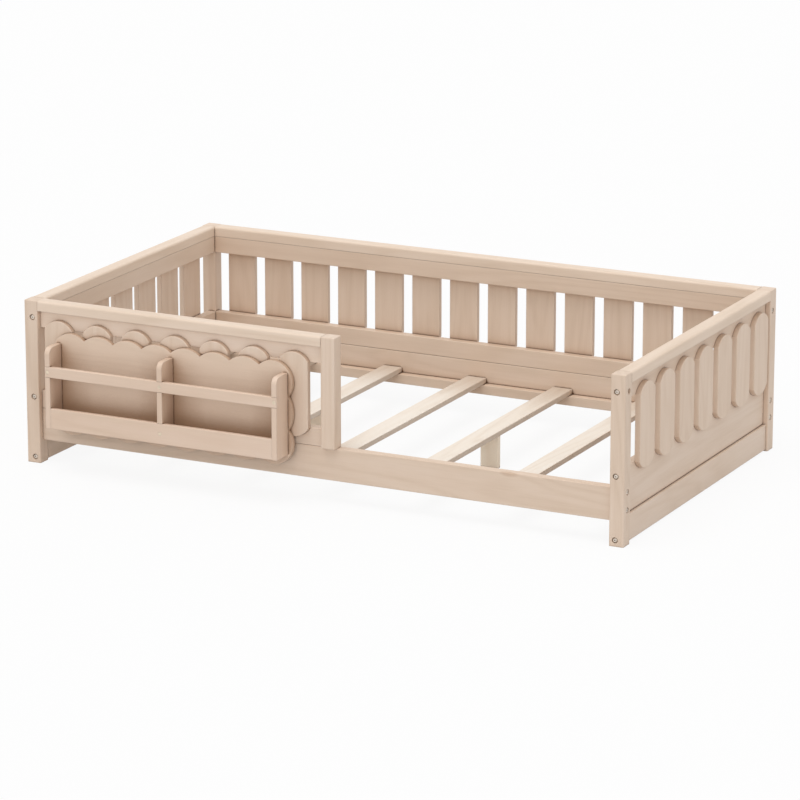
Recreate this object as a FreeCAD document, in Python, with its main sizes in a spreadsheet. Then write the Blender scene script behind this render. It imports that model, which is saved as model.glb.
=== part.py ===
"""Toddler floor bed for a crib-size mattress, with picket panels, a half guard and a bookshelf.

The frame is millimetres, +X along the bed, +Y from its open front to its back and +Z up.
The origin is on the floor, in the middle of the whole bed with its bookshelf.
"""
import FreeCAD, Part
import math
import os
import Sketcher

SIZES = {
    # the whole bed, over its corner posts
    "bed_length": 1400,
    "bed_width": 815,
    "post_height": 360,
    "post_side": 32,
    "post_round": 2,
    # caps along the top of each panel
    "cap_height": 22,
    "cap_round": 5,
    # boards of the panels
    "board_thickness": 20,
    "board_recess": 12,
    "board_round": 1.5,
    "upper_board_height": 38,
    "lower_board_top": 160,
    # pickets
    "picket_width": 68,
    "end_picket_width": 76,
    "picket_thickness": 12,
    "picket_crown": 20,
    "picket_ease": 1.2,
    "picket_top_lap": 21,
    "picket_bottom_lap": 21,
    "back_picket_count": 14,
    "back_picket_start": 25.5,
    "back_picket_end": 18.5,
    "guard_picket_count": 7,
    "guard_picket_start": 16.7,
    "guard_picket_end": 30,
    "end_picket_count": 7,
    "right_picket_start": 47,
    "right_picket_end": 10.6,
    "left_picket_start": 22,
    "left_picket_end": 35,
    # rails near the floor
    "rail_bottom": 50,
    "rail_top": 121,
    "rail_thickness": 20,
    "rail_round": 2,
    "foot_rail_bottom": 3,
    "foot_rail_top": 60,
    "foot_rail_recess": 5,
    # mattress deck
    "ledger_height": 22,
    "ledger_width": 18,
    "slat_count": 7,
    "slat_end_gap": 11.5,
    "slat_width": 47,
    "slat_thickness": 12,
    "slat_round": 1.5,
    "leg_width": 42,
    "leg_thickness": 12,
    # guard
    "guard_length": 745,
    # bookshelf on the guard
    "shelf_toward_post": 3,
    "shelf_back_thickness": 10,
    "shelf_depth": 50,
    "shelf_rise": 24,
    "divider_thickness": 12,
    "divider_inset": 10.4,
    "divider_height": 177,
    "divider_corner": 15,
    "shelf_bar_thickness": 10,
    "top_bar_rise": 112.5,
    "top_bar_height": 23.5,
    "bottom_bar_height": 45,
    "shelf_board_thickness": 12,
    # cloud outline of the bookshelf's back board
    "cloud_height": 224,
    "cloud_overhang": 10.5,
    "cloud_corner_length": 78.5,
    "cloud_corner_height": 73,
    "scallop_count": 6,
    "scallop_depth": 13,
    "side_bulge_depth": 12.5,
    "corner_radius": 46,
    # bolts through the posts
    "bolt_inset": 19,
    "bolt_diameter": 6,
    "bolt_length": 45,
    "bolt_clearance": 0.5,
    "bolt_head_diameter": 10,
    "bolt_head_height": 4,
    "bolt_head_round": 1.5,
    "bolt_socket": 4,
    "bolt_socket_depth": 2.5,
    "head_recess_diameter": 13,
    "head_recess_depth": 5,
    "foot_bolt_rise": 10,
    "lower_bolt_drop": 13,
    "upper_bolt_rise": 23,
    "rail_bolt_rise": 24,
    "rail_bolt_drop": 9,
    "long_board_bolt_rise": 13,
    "insert_diameter": 9,
    "insert_length": 18,
    "insert_hole_spare": 4,
    # dowels and wood screws
    "dowel_diameter": 6,
    "dowel_length": 30,
    "dowel_seat": 12,
    "dowel_rise": 13,
    "foot_dowel_inset": 6,
    "foot_dowel_spread": 9,
    "hole_spare": 1,
    "hole_fit": 0.2,
    "screw_diameter": 4,
    "screw_length": 30,
    "screw_head_diameter": 8,
    "screw_head_height": 2,
    "mount_screw_low_rise": 80,
    "mount_screw_high_rise": 160,
}

DOC = FreeCAD.newDocument("FloorBed")
AXES = {"X": FreeCAD.Vector(1, 0, 0), "Y": FreeCAD.Vector(0, 1, 0), "Z": FreeCAD.Vector(0, 0, 1)}
# the origin plane square to each axis, and the way its sketches face along that axis
PLANES = {"X": ("YZ_Plane", 1), "Y": ("XZ_Plane", -1), "Z": ("XY_Plane", 1)}
# turn about Z, in degrees, that points a fastener along +X, +Y, -X or -Y
HEADINGS = {"+X": 0, "+Y": 90, "-X": 180, "-Y": 270}
# how near to a plane counts as on it
NEAR = 0.01
PIECES = []


class Size:
    """A length that is a number here and a formula of the sheet's cells in the document."""

    def __init__(self, value, formula):
        self.value = value
        self.formula = formula

    def __add__(self, other):
        other = as_size(other)
        return Size(self.value + other.value, f"({self.formula} + {other.formula})")

    def __sub__(self, other):
        other = as_size(other)
        return Size(self.value - other.value, f"({self.formula} - {other.formula})")

    def __mul__(self, other):
        other = as_size(other)
        return Size(self.value * other.value, f"({self.formula} * {other.formula})")

    def __truediv__(self, other):
        other = as_size(other)
        return Size(self.value / other.value, f"({self.formula} / {other.formula})")

    def __rsub__(self, other):
        return as_size(other) - self

    def __neg__(self):
        return 0 - self

    __radd__ = __add__
    __rmul__ = __mul__


def as_size(thing):
    """A plain number as a Size, or the Size itself."""
    if isinstance(thing, Size):
        return thing
    return Size(thing, str(thing))


class Sheet:
    """The spreadsheet of driving sizes; each alias is an attribute that gives its Size."""

    def __init__(self, sizes):
        table = DOC.addObject("Spreadsheet::Sheet", "Sizes")
        for row, (alias, number) in enumerate(sizes.items(), start=1):
            table.set(f"A{row}", alias)
            table.set(f"B{row}", str(number))
            table.setAlias(f"B{row}", alias)
            setattr(self, alias, Size(number, "Sizes." + alias))
        DOC.recompute()


def pitch_to_fill(length, start, end, width, count):
    """The pitch of equal pieces that fill a length between two end gaps."""
    return (length - start - end - width) / (count - 1)


def arc_radius(length, depth):
    """The radius of a shallow arc over a length, so many millimetres deep."""
    return (length * length / 4 + depth * depth) / (2 * depth)


s = Sheet(SIZES)
ZERO = as_size(0)

# planes and spacings of the bed, worked out from the sheet
LEFT = -s.bed_length / 2
RIGHT = s.bed_length / 2
FRONT = (s.shelf_back_thickness + s.shelf_depth - s.bed_width) / 2
BACK = FRONT + s.bed_width
CAP_BOTTOM = s.post_height - s.cap_height
UPPER_BOARD_BOTTOM = CAP_BOTTOM - s.upper_board_height
INNER_LENGTH = s.bed_length - 2 * s.post_side
INNER_WIDTH = s.bed_width - 2 * s.post_side
BOARD_MIDDLE = s.board_recess + s.board_thickness / 2
GUARD_BOARD_LENGTH = s.guard_length - 2 * s.post_side
SLAT_BOTTOM = s.rail_bottom + s.ledger_height
SLAT_PITCH = pitch_to_fill(INNER_LENGTH, s.slat_end_gap, s.slat_end_gap, s.slat_width, s.slat_count)
PICKET_BOTTOM = s.lower_board_top - s.picket_bottom_lap
PICKET_TOP = UPPER_BOARD_BOTTOM + s.picket_top_lap
BACK_PITCH = pitch_to_fill(INNER_LENGTH, s.back_picket_start, s.back_picket_end, s.picket_width,
                           s.back_picket_count)
GUARD_PITCH = pitch_to_fill(GUARD_BOARD_LENGTH, s.guard_picket_start, s.guard_picket_end, s.picket_width,
                            s.guard_picket_count)
LEFT_PITCH = pitch_to_fill(INNER_WIDTH, s.left_picket_start, s.left_picket_end, s.end_picket_width,
                           s.end_picket_count)
RIGHT_PITCH = pitch_to_fill(INNER_WIDTH, s.right_picket_start, s.right_picket_end, s.end_picket_width,
                            s.end_picket_count)

# the bookshelf is centred near the guard's middle picket, its outer dividers near the end ones
GUARD_ROW_HALF = GUARD_PITCH * (s.guard_picket_count - 1) / 2
GUARD_ROW_START = LEFT + s.post_side + s.guard_picket_start
SHELF_MIDDLE = GUARD_ROW_START + s.picket_width / 2 + GUARD_ROW_HALF - s.shelf_toward_post
BAY_STEP = GUARD_ROW_HALF - s.divider_inset
SHELF_LENGTH = 2 * BAY_STEP + s.divider_thickness
INNER_SHELF_LENGTH = 2 * BAY_STEP - s.divider_thickness
CLOUD_LENGTH = SHELF_LENGTH + 2 * s.cloud_overhang
CLOUD_BOTTOM = UPPER_BOARD_BOTTOM - s.cloud_height
SCALLOP_PITCH = (CLOUD_LENGTH - 2 * s.cloud_corner_length) / s.scallop_count
SCALLOP_RADIUS = arc_radius(SCALLOP_PITCH, s.scallop_depth)
SIDE_BULGE_RADIUS = arc_radius(s.cloud_height - 2 * s.cloud_corner_height, s.side_bulge_depth)
SHELF_BOTTOM = CLOUD_BOTTOM + s.shelf_rise
SHELF_FRONT = FRONT - s.shelf_back_thickness - s.shelf_depth
MOUNT_SCREW_HEIGHTS = (SHELF_BOTTOM + s.mount_screw_low_rise, SHELF_BOTTOM + s.mount_screw_high_rise)
DIVIDER_MIDDLES = (SHELF_MIDDLE - BAY_STEP, SHELF_MIDDLE, SHELF_MIDDLE + BAY_STEP)

# bolt heights, each taken from the board or rail that the bolt holds
END_BOLT_HEIGHTS = (
    s.foot_rail_bottom + s.foot_bolt_rise,
    s.lower_board_top - s.lower_bolt_drop,
    UPPER_BOARD_BOTTOM + s.upper_bolt_rise,
)
RAIL_BOLT_HEIGHTS = (s.rail_bottom + s.rail_bolt_rise, s.rail_top - s.rail_bolt_drop)
SIDE_BOLT_HEIGHTS = RAIL_BOLT_HEIGHTS + (UPPER_BOARD_BOTTOM + s.long_board_bolt_rise,)

# hole sizes, each taken from what goes in it
DOWEL_HOLE = s.dowel_diameter + s.hole_fit
RAIL_DOWEL_DEPTH = s.dowel_length - s.dowel_seat + s.hole_spare
FOOT_DOWEL_INSETS = (s.foot_dowel_inset, s.foot_dowel_inset + s.foot_dowel_spread)
INSERT_HOLE = s.insert_diameter + s.hole_fit
INSERT_DEPTH = s.insert_length + s.insert_hole_spare
SCREW_HOLE = s.screw_diameter + s.hole_fit
SCREW_RECESS = s.screw_head_diameter + s.hole_fit


def bind(thing, name, size):
    """Ties one property of an object to a size."""
    thing.setExpression(name, as_size(size).formula)


def place(thing, x, y, z):
    """Ties an object's place to three sizes."""
    for name, size in zip("xyz", (x, y, z)):
        bind(thing, "Placement.Base." + name, size)


def origin_part(body, role):
    """The named plane or axis of a body's own origin."""
    return next(part for part in body.Origin.OriginFeatures if part.Role == role)


def new_body(name, x, y, z):
    """An empty body for one piece, with its lower front left corner at a place."""
    body = DOC.addObject("PartDesign::Body", name)
    body.Label = name
    place(body, x, y, z)
    PIECES.append(body)
    return body


def sketch_across(body, axis, start=0):
    """An empty sketch square to an axis of the body, at a distance along that axis."""
    role, facing = PLANES[axis]
    sketch = body.newObject("Sketcher::SketchObject", "Outline")
    sketch.AttachmentSupport = [(origin_part(body, role), "")]
    sketch.MapMode = "FlatFace"
    bind(sketch, "AttachmentOffset.Base.z", facing * as_size(start))
    return sketch


def constrain(sketch, kind, elements, size):
    """Adds one dimension to a sketch and ties it to a size."""
    size = as_size(size)
    index = sketch.addConstraint(Sketcher.Constraint(kind, *elements, size.value))
    name = f"size_{index}"
    sketch.renameConstraint(index, name)
    bind(sketch, "Constraints." + name, size)


def polygon(sketch, corners):
    """A closed outline of straight lines whose corners lie at (across, up) sizes."""
    points = [FreeCAD.Vector(across.value, up.value, 0) for across, up in corners]
    count = len(points)
    for index, point in enumerate(points):
        sketch.addGeometry(Part.LineSegment(point, points[(index + 1) % count]))
    for index, (across, up) in enumerate(corners):
        sketch.addConstraint(Sketcher.Constraint("Coincident", index, 2, (index + 1) % count, 1))
        constrain(sketch, "DistanceX", (-1, 1, index, 1), across)
        constrain(sketch, "DistanceY", (-1, 1, index, 1), up)


def rectangle(sketch, width, height):
    """A rectangle from the sketch's origin."""
    points = [(0, 0), (width.value, 0), (width.value, height.value), (0, height.value)]
    points = [FreeCAD.Vector(across, up, 0) for across, up in points]
    for index, point in enumerate(points):
        sketch.addGeometry(Part.LineSegment(point, points[(index + 1) % 4]))
    for index in range(4):
        sketch.addConstraint(Sketcher.Constraint("Coincident", index, 2, (index + 1) % 4, 1))
    for index, way in enumerate(("Horizontal", "Vertical", "Horizontal", "Vertical")):
        sketch.addConstraint(Sketcher.Constraint(way, index))
    sketch.addConstraint(Sketcher.Constraint("Coincident", 0, 1, -1, 1))
    constrain(sketch, "DistanceX", (0, 1, 0, 2), width)
    constrain(sketch, "DistanceY", (1, 1, 1, 2), height)


def crowned(sketch, width, height, crown):
    """An upright outline with straight sides and shallow arcs across both ends."""
    radius = arc_radius(width, crown)
    shoulder = height - crown
    corners = [(ZERO, crown), (width, crown), (width, shoulder), (ZERO, shoulder)]
    points = [FreeCAD.Vector(across.value, up.value, 0) for across, up in corners]
    middle = width.value / 2
    foot = FreeCAD.Vector(middle, 0, 0)
    head = FreeCAD.Vector(middle, height.value, 0)
    sketch.addGeometry([
        Part.Arc(points[0], foot, points[1]),
        Part.LineSegment(points[1], points[2]),
        Part.Arc(points[2], head, points[3]),
        Part.LineSegment(points[3], points[0]),
    ])
    # each edge ends where the next one starts
    for edge, (across, up) in enumerate(corners):
        sketch.addConstraint(Sketcher.Constraint("Coincident", edge, 1, (edge - 1) % 4, 2))
        constrain(sketch, "DistanceX", (-1, 1, edge, 1), across)
        constrain(sketch, "DistanceY", (-1, 1, edge, 1), up)
    constrain(sketch, "Radius", (0,), radius)
    constrain(sketch, "Radius", (2,), radius)


def circles(sketch, centres, diameter):
    """Circles of one diameter about (across, up) centres."""
    for across, up in centres:
        across = as_size(across)
        up = as_size(up)
        centre = FreeCAD.Vector(across.value, up.value, 0)
        index = sketch.addGeometry(Part.Circle(centre, AXES["Z"], diameter.value / 2))
        constrain(sketch, "Diameter", (index,), diameter)
        constrain(sketch, "DistanceX", (-1, 1, index, 3), across)
        constrain(sketch, "DistanceY", (-1, 1, index, 3), up)


def pad(body, sketch, axis, depth):
    """Thickens a sketch by a depth, toward the axis's positive end."""
    solid = body.newObject("PartDesign::Pad", "Pad")
    solid.Profile = sketch
    solid.Reversed = PLANES[axis][1] < 0
    bind(solid, "Length", depth)
    body.Tip = solid
    return solid


def cut(body, sketch, axis, way, depth):
    """Cuts a sketch's outline into a body, toward the axis's positive (1) or negative (-1) end."""
    pocket = body.newObject("PartDesign::Pocket", "Pocket")
    pocket.Profile = sketch
    pocket.Reversed = PLANES[axis][1] == way
    bind(pocket, "Length", depth)
    body.Tip = pocket


def bore(body, axis, start, way, centres, diameter, depth):
    """Drills round holes along an axis, from a start along it, to a depth."""
    sketch = sketch_across(body, axis, start)
    circles(sketch, centres, diameter)
    cut(body, sketch, axis, way, depth)


def finish_edges(body, kind, size_name, size, chosen):
    """Finishes the chosen edges of the body as it stands, all with one size."""
    DOC.recompute()
    base = body.Tip
    names = [f"Edge{number}" for number, edge in enumerate(base.Shape.Edges, start=1) if chosen(edge)]
    finish = body.newObject(f"PartDesign::{kind}", "Edges")
    finish.Base = (base, names)
    bind(finish, size_name, size)
    body.Tip = finish


def soften(body, radius, chosen):
    """Rounds the chosen edges."""
    finish_edges(body, "Fillet", "Radius", radius, chosen)


def ease(body, width, chosen):
    """Takes the sharp corner off the chosen edges with a narrow flat."""
    finish_edges(body, "Chamfer", "Size", width, chosen)


def runs_along(edge, axis):
    """True for a straight edge that lies along an axis."""
    if edge.Curve.TypeId != "Part::GeomLine":
        return False
    return abs(edge.Curve.Direction.dot(AXES[axis])) > 0.999


def box(name, corner, length, width, height, axis, rounding):
    """A stick of wood with its long edges softened; axis is the way that it runs."""
    body = new_body(name, *corner)
    outline = sketch_across(body, "Z")
    rectangle(outline, length, width)
    pad(body, outline, "Z", height)
    soften(body, rounding, lambda edge: runs_along(edge, axis))
    return body


def end_holes(body, axis, length, centres, diameter, depths):
    """Blind holes in both ends of a stick; a depth of None leaves that end whole."""
    for start, way, depth in ((0, 1, depths[0]), (length, -1, depths[1])):
        if depth is not None:
            bore(body, axis, start, way, centres, diameter, depth)


# ---------------------------------------------------------------- corner posts


def corner_post(name, at_right, at_back):
    """A square post with recessed bolt holes through both outer faces and dowel holes inside."""
    side = s.post_side
    x = RIGHT - side if at_right else LEFT
    y = BACK - side if at_back else FRONT
    body = new_body(name, x, y, 0)
    outline = sketch_across(body, "Z")
    rectangle(outline, side, side)
    pad(body, outline, "Z", s.post_height)
    soften(body, s.post_round, lambda edge: edge.CenterOfMass.z > NEAR)

    outer_x, way_x = (side, -1) if at_right else (0, 1)
    outer_y, way_y = (side, -1) if at_back else (0, 1)
    inner_x = 0 if at_right else side
    inner_y = 0 if at_back else side
    inset_x = side - s.bolt_inset if at_right else s.bolt_inset
    inset_y = side - s.bolt_inset if at_back else s.bolt_inset
    bolt_hole = s.bolt_diameter + s.bolt_clearance

    # nothing is bolted to the front right post above the rail, so its top hole is a spare one
    spare = at_right and not at_back
    side_heights = RAIL_BOLT_HEIGHTS + END_BOLT_HEIGHTS[-1:] if spare else SIDE_BOLT_HEIGHTS
    end_bolts = [(inset_x, height) for height in END_BOLT_HEIGHTS]
    side_bolts = [(inset_y, height) for height in side_heights]
    for axis, start, way, centres in (("Y", outer_y, way_y, end_bolts), ("X", outer_x, way_x, side_bolts)):
        bore(body, axis, start, way, centres, bolt_hole, side)
        bore(body, axis, start, way, centres, s.head_recess_diameter, s.head_recess_depth)

    seat = s.dowel_seat
    cap_middle = s.post_height - s.cap_height / 2
    bore(body, "Y", inner_y, -way_y, [(side / 2, cap_middle)], DOWEL_HOLE, seat)
    if spare:
        return
    across = side - BOARD_MIDDLE if at_back else BOARD_MIDDLE
    dowels = [(side / 2, cap_middle), (across, s.rail_top + s.dowel_rise)]
    bore(body, "X", inner_x, -way_x, dowels, DOWEL_HOLE, seat)


corner_post("post_front_left", at_right=False, at_back=False)
corner_post("post_front_right", at_right=True, at_back=False)
corner_post("post_back_left", at_right=False, at_back=True)
corner_post("post_back_right", at_right=True, at_back=True)


# ---------------------------------------------------------------- guard and back panels


def guard_post():
    """The short post at the guard's free end, standing on the front rail."""
    side = s.post_side
    height = s.post_height - s.rail_top
    body = new_body("guard_post", LEFT + s.guard_length - side, FRONT, s.rail_top)
    outline = sketch_across(body, "Z")
    rectangle(outline, side, side)
    pad(body, outline, "Z", height)
    soften(body, s.post_round, lambda edge: edge.CenterOfMass.z > NEAR)
    board_dowels = [
        (side / 2, height - s.cap_height / 2),
        (BOARD_MIDDLE, UPPER_BOARD_BOTTOM + s.upper_board_height / 2 - s.rail_top),
        (BOARD_MIDDLE, s.dowel_rise),
    ]
    bore(body, "X", 0, 1, board_dowels, DOWEL_HOLE, s.dowel_seat)
    feet = [(side - inset, BOARD_MIDDLE) for inset in FOOT_DOWEL_INSETS]
    bore(body, "Z", 0, 1, feet, DOWEL_HOLE, RAIL_DOWEL_DEPTH)


def long_panel(side_name, at_back, length):
    """The cap, the upper board and the lower board of the guard or of the back."""
    cap_y = BACK - s.post_side if at_back else FRONT
    board_y = BACK - s.board_recess - s.board_thickness if at_back else FRONT + s.board_recess
    start = LEFT + s.post_side
    dowel_depths = (RAIL_DOWEL_DEPTH, RAIL_DOWEL_DEPTH)
    thickness = s.board_thickness

    cap = new_body(f"{side_name}_cap", start, cap_y, CAP_BOTTOM)
    outline = sketch_across(cap, "Z")
    rectangle(outline, length, s.post_side)
    pad(cap, outline, "Z", s.cap_height)
    soften(cap, s.cap_round, lambda edge: runs_along(edge, "X") and edge.CenterOfMass.z > NEAR)
    end_holes(cap, "X", length, [(s.post_side / 2, s.cap_height / 2)], DOWEL_HOLE, dowel_depths)

    height = s.upper_board_height
    corner = (start, board_y, UPPER_BOARD_BOTTOM)
    upper = box(f"{side_name}_upper_board", corner, length, thickness, height, "X", s.board_round)
    across = s.bolt_inset - s.board_recess
    insert = [(thickness - across if at_back else across, s.long_board_bolt_rise)]
    bolted = (INSERT_DEPTH, INSERT_DEPTH) if at_back else (INSERT_DEPTH, None)
    end_holes(upper, "X", length, insert, INSERT_HOLE, bolted)
    if not at_back:
        middle = [(thickness / 2, height / 2)]
        end_holes(upper, "X", length, middle, DOWEL_HOLE, (None, RAIL_DOWEL_DEPTH))

    corner = (start, board_y, s.rail_top)
    height = s.lower_board_top - s.rail_top
    lower = box(f"{side_name}_lower_board", corner, length, thickness, height, "X", s.board_round)
    end_holes(lower, "X", length, [(thickness / 2, s.dowel_rise)], DOWEL_HOLE, dowel_depths)


guard_post()
long_panel("guard", at_back=False, length=GUARD_BOARD_LENGTH)
long_panel("back", at_back=True, length=INNER_LENGTH)


def side_rail(name, at_back):
    """A long rail that carries the mattress deck, bolted twice at each end."""
    y = BACK - s.post_side if at_back else FRONT + s.post_side - s.rail_thickness
    height = s.rail_top - s.rail_bottom
    corner = (LEFT + s.post_side, y, s.rail_bottom)
    rail = box(name, corner, INNER_LENGTH, s.rail_thickness, height, "X", s.rail_round)
    across = s.bolt_inset - (s.post_side - s.rail_thickness)
    across = s.rail_thickness - across if at_back else across
    inserts = [(across, bolt_height - s.rail_bottom) for bolt_height in RAIL_BOLT_HEIGHTS]
    end_holes(rail, "X", INNER_LENGTH, inserts, INSERT_HOLE, (INSERT_DEPTH, INSERT_DEPTH))
    if not at_back:
        middle = BOARD_MIDDLE - s.post_side + s.rail_thickness
        feet = [(s.guard_length - s.post_side - inset, middle) for inset in FOOT_DOWEL_INSETS]
        bore(rail, "Z", height, -1, feet, DOWEL_HOLE, s.dowel_seat)


side_rail("front_rail", at_back=False)
side_rail("back_rail", at_back=True)


# ---------------------------------------------------------------- end panels


def end_panel(side_name, at_right):
    """The cap, the upper board, the lower board and the foot rail of one end."""
    start = FRONT + s.post_side
    cap_x = RIGHT - s.post_side if at_right else LEFT
    board_x = RIGHT - s.board_recess - s.board_thickness if at_right else LEFT + s.board_recess
    foot_x = RIGHT - s.post_side if at_right else LEFT + s.foot_rail_recess
    foot_width = s.post_side - s.foot_rail_recess
    dowel_depths = (RAIL_DOWEL_DEPTH, RAIL_DOWEL_DEPTH)
    insert_depths = (INSERT_DEPTH, INSERT_DEPTH)

    cap = new_body(f"{side_name}_cap", cap_x, start, CAP_BOTTOM)
    outline = sketch_across(cap, "Z")
    rectangle(outline, s.post_side, INNER_WIDTH)
    pad(cap, outline, "Z", s.cap_height)
    soften(cap, s.cap_round, lambda edge: runs_along(edge, "Y") and edge.CenterOfMass.z > NEAR)
    end_holes(cap, "Y", INNER_WIDTH, [(s.post_side / 2, s.cap_height / 2)], DOWEL_HOLE, dowel_depths)

    across = s.bolt_inset - s.board_recess
    across = s.board_thickness - across if at_right else across
    foot_across = s.bolt_inset - s.foot_rail_recess
    foot_across = foot_width - foot_across if at_right else foot_across
    board = (board_x, s.board_thickness, across)
    foot = (foot_x, foot_width, foot_across)
    foot_bolt, lower_bolt, upper_bolt = END_BOLT_HEIGHTS
    levels = (
        ("upper_board", board, UPPER_BOARD_BOTTOM, CAP_BOTTOM, upper_bolt),
        ("lower_board", board, s.foot_rail_top, s.lower_board_top, lower_bolt),
        ("foot_rail", foot, s.foot_rail_bottom, s.foot_rail_top, foot_bolt),
    )
    for piece, (x, thickness, bolt_across), bottom, top, bolt_height in levels:
        corner = (x, start, bottom)
        body = box(f"{side_name}_{piece}", corner, thickness, INNER_WIDTH, top - bottom, "Y", s.board_round)
        insert = [(bolt_across, bolt_height - bottom)]
        end_holes(body, "Y", INNER_WIDTH, insert, INSERT_HOLE, insert_depths)


end_panel("left", at_right=False)
end_panel("right", at_right=True)


# ---------------------------------------------------------------- pickets


def picket(name, x, y, width, facing_axis, outer_at_start):
    """A flat picket with crowned ends, its outer outline eased."""
    body = new_body(name, x, y, PICKET_BOTTOM)
    outline = sketch_across(body, facing_axis)
    crowned(outline, width, PICKET_TOP - PICKET_BOTTOM, s.picket_crown)
    solid = pad(body, outline, facing_axis, s.picket_thickness)
    outer = 0 if outer_at_start else s.picket_thickness.value
    along = AXES[facing_axis]
    ease(body, s.picket_ease, lambda edge: abs(edge.CenterOfMass.dot(along) - outer) < NEAR)
    return body, solid


def picket_row(name, y, start, pitch, count, outer_at_start):
    """One row of equal pickets in a long panel, as a group of separate solids."""
    body, _ = picket(name, LEFT + s.post_side + start, y, s.picket_width, "Y", outer_at_start)
    eased = body.Tip
    solid = eased.Base[0]
    row = body.newObject("PartDesign::LinearPattern", "Row")
    row.Originals = [solid, eased]
    row.Direction = (origin_part(body, "X_Axis"), [""])
    row.Mode = "Spacing"
    bind(row, "Offset", pitch)
    bind(row, "Occurrences", count)
    body.Tip = row
    return body


picket_row("back_pickets", BACK - s.picket_thickness, s.back_picket_start, BACK_PITCH,
           s.back_picket_count, outer_at_start=False)
guard_pickets = picket_row("guard_pickets", FRONT, s.guard_picket_start, GUARD_PITCH,
                           s.guard_picket_count, outer_at_start=True)
for number in range(SIZES["end_picket_count"]):
    left_y = FRONT + s.post_side + s.left_picket_start + number * LEFT_PITCH
    right_y = FRONT + s.post_side + s.right_picket_start + number * RIGHT_PITCH
    width = s.end_picket_width
    right_x = RIGHT - s.picket_thickness
    picket(f"left_picket_{number + 1}", LEFT, left_y, width, "X", outer_at_start=True)
    picket(f"right_picket_{number + 1}", right_x, right_y, width, "X", outer_at_start=False)


# ---------------------------------------------------------------- mattress deck


def ledger(name, y, screw_y):
    """A strip glued inside a long rail, drilled from below for the slats' screws."""
    corner = (LEFT + s.post_side, y, s.rail_bottom)
    strip = box(name, corner, INNER_LENGTH, s.ledger_width, s.ledger_height, "X", s.board_round)
    centres = [(x - corner[0], screw_y - y) for x in SLAT_MIDDLES]
    bore(strip, "Z", 0, 1, centres, SCREW_HOLE, s.ledger_height)
    bore(strip, "Z", 0, 1, centres, SCREW_RECESS, s.screw_head_height)


def slat(name, middle, carries_leg):
    """A deck slat across the bed, on both ledgers."""
    corner = (middle - s.slat_width / 2, FRONT + s.post_side, SLAT_BOTTOM)
    body = box(name, corner, s.slat_width, INNER_WIDTH, s.slat_thickness, "Y", s.slat_round)
    depth = s.screw_length - s.ledger_height + s.hole_spare
    centres = [(s.slat_width / 2, y - corner[1]) for y in (FRONT_SCREW_Y, BACK_SCREW_Y)]
    bore(body, "Z", 0, 1, centres, SCREW_HOLE, depth)
    if carries_leg:
        bore(body, "Z", 0, 1, [(s.slat_width / 2, INNER_WIDTH / 2)], DOWEL_HOLE, LEG_DOWEL_SEAT)


def support_leg(name, middle):
    """A short leg under the middle of a slat."""
    y = (FRONT + BACK - s.leg_thickness) / 2
    corner = (middle - s.leg_width / 2, y, 0)
    leg = box(name, corner, s.leg_width, s.leg_thickness, SLAT_BOTTOM, "Z", s.board_round)
    depth = s.dowel_length - LEG_DOWEL_SEAT + s.hole_spare
    bore(leg, "Z", SLAT_BOTTOM, -1, [(s.leg_width / 2, s.leg_thickness / 2)], DOWEL_HOLE, depth)


SLAT_COUNT = SIZES["slat_count"]
SLAT_MIDDLES = [(number - (SLAT_COUNT - 1) / 2) * SLAT_PITCH for number in range(SLAT_COUNT)]
LEG_DOWEL_SEAT = s.slat_thickness - 2 * s.hole_spare
FRONT_SCREW_Y = FRONT + s.post_side + s.ledger_width / 2
BACK_SCREW_Y = BACK - s.post_side - s.ledger_width / 2
LEG_MIDDLES = (-SLAT_PITCH, SLAT_PITCH)
ledger("front_ledger", FRONT + s.post_side, FRONT_SCREW_Y)
ledger("back_ledger", BACK - s.post_side - s.ledger_width, BACK_SCREW_Y)
for number, slat_middle in enumerate(SLAT_MIDDLES, start=1):
    over_leg = any(abs(slat_middle.value - leg_middle.value) < 1 for leg_middle in LEG_MIDDLES)
    slat(f"slat_{number}", slat_middle, over_leg)
support_leg("support_leg_left", LEG_MIDDLES[0])
support_leg("support_leg_right", LEG_MIDDLES[1])


# ---------------------------------------------------------------- bookshelf


def disc(body, across, up, radius):
    """One round lobe of the cloud board, as thick as the board."""
    sketch = sketch_across(body, "Y")
    circles(sketch, [(across, up)], 2 * radius)
    return pad(body, sketch, "Y", s.shelf_back_thickness)


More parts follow.
